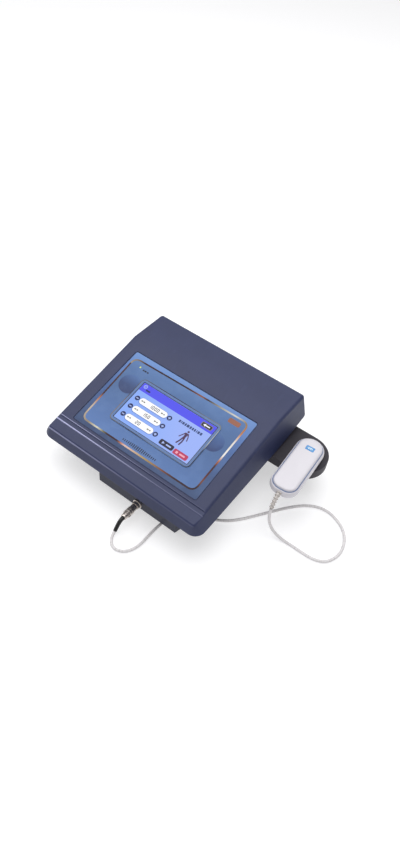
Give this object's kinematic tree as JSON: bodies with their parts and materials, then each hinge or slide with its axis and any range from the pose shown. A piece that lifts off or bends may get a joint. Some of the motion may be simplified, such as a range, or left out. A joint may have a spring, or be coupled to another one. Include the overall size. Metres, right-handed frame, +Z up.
{
  "type": "ultrasound therapy device",
  "caption": "Wedge-shaped desk-top ultrasound therapy console with a touch display, a side holder and a corded treatment handset resting in it.",
  "frame": {"origin": "on the surface it stands on, under the middle of the footprint of console, holder and handset together", "axes": "+X across the console towards the probe holder, +Y from the front lip to the back, +Z up"},
  "size_m": [0.4915, 0.3695, 0.1291],
  "materials": {
    "case_blue": "satin moulded ABS, slate blue",
    "case_dark": "satin moulded ABS, dark slate blue",
    "fascia_film": "printed polycarbonate film, steel blue",
    "bezel_gloss": "gloss blue-grey plastic",
    "screen_glass": "lit touch display behind glass",
    "lcd_metal": "folded sheet back of the display",
    "circuit_board": "green solder resist with black parts",
    "brass_parts": "bright",
    "led_lens": "yellow-green lens",
    "ribbon_film": "flat ribbon cable",
    "steel_screws": "zinc plated",
    "black_plastic": "black moulded plastic",
    "transformer_steel": "varnished laminations and tape",
    "sink_aluminium": "extruded",
    "wire_jacket": "insulated wire",
    "nickel": "nickel plate",
    "fuse_glass": "glass fuse with metal caps",
    "label_film": "blank silver label",
    "foot_rubber": "matte black",
    "holder_plastic": "fine-textured charcoal",
    "handset_white": "satin white",
    "gasket_blue": "blue-grey",
    "badge_blue": "light blue, blank",
    "head_metal": "turned and polished",
    "piezo_ceramic": "silvered ceramic",
    "cable_jacket": "smooth white",
    "relief_grey": "moulded light grey",
    "boot_black": "matte black"
  },
  "bodies": {
    "root": {"top_shell": "case_blue", "bottom_shell": "case_dark", "fascia_overlay": "fascia_film", "display_bezel": "bezel_gloss", "touch_glass": "screen_glass", "lcd_panel": "lcd_metal", "display_board": "circuit_board", "display_standoffs": "brass_parts", "power_led": "led_lens", "display_ribbon": "ribbon_film", "main_board": "circuit_board", "board_standoffs": "brass_parts", "board_screws": "steel_screws", "buzzer": "black_plastic", "power_supply": "circuit_board", "transformer": "transformer_steel", "amplifier_board": "circuit_board", "heat_sink": "sink_aluminium", "rf_lead": "wire_jacket", "mains_wires": "wire_jacket", "output_socket": "nickel", "socket_nut": "nickel", "mains_inlet": "black_plastic", "inlet_pins": "brass_parts", "switch_frame": "black_plastic", "rocker_pin": "steel_screws", "fuse_holder": "black_plastic", "fuse_link": "fuse_glass", "rating_plate": "label_film", "rubber_feet": "foot_rubber", "foot_screws": "steel_screws", "case_screws": "steel_screws", "probe_holder": "holder_plastic", "holder_liner": "foot_rubber", "holder_screws": "steel_screws", "holder_nuts": "steel_screws", "probe_cable": "cable_jacket", "plug_body": "nickel", "plug_boot": "boot_black"},
    "handset": {"handset_top": "handset_white", "handset_gasket": "gasket_blue", "handset_shell": "handset_white", "handset_badge": "badge_blue", "treatment_head": "head_metal", "head_seal": "foot_rubber", "piezo_disc": "piezo_ceramic", "contact_spring": "brass_parts", "handset_board": "circuit_board", "handset_screws": "steel_screws", "strain_relief": "relief_grey"},
    "rocker": {"power_rocker": "black_plastic"},
    "fuse_cap_body": {"fuse_cap": "black_plastic"},
    "plug_sleeve": {"coupling_nut": "nickel"}
  },
  "joints": [
    {"name": "handset_lift", "type": "slide", "parent": "root", "child": "handset", "axis": [0, 0, 1], "range_m": [0, 0.03]},
    {"name": "power_switch", "type": "hinge", "parent": "root", "child": "rocker", "pos_m": [-0.0635, 0.131, 0.046], "axis": [1, 0, 0], "range_deg": [-20, 0]},
    {"name": "fuse_cap_turn", "type": "hinge", "parent": "root", "child": "fuse_cap_body", "pos_m": [-0.0235, 0.134, 0.046], "axis": [0, 1, 0], "range_deg": [0, 90]},
    {"name": "coupling_nut_turn", "type": "hinge", "parent": "root", "child": "plug_sleeve", "pos_m": [-0.0045, -0.16, 0.019], "axis": [0, -1, 0], "continuous": true}
  ]
}
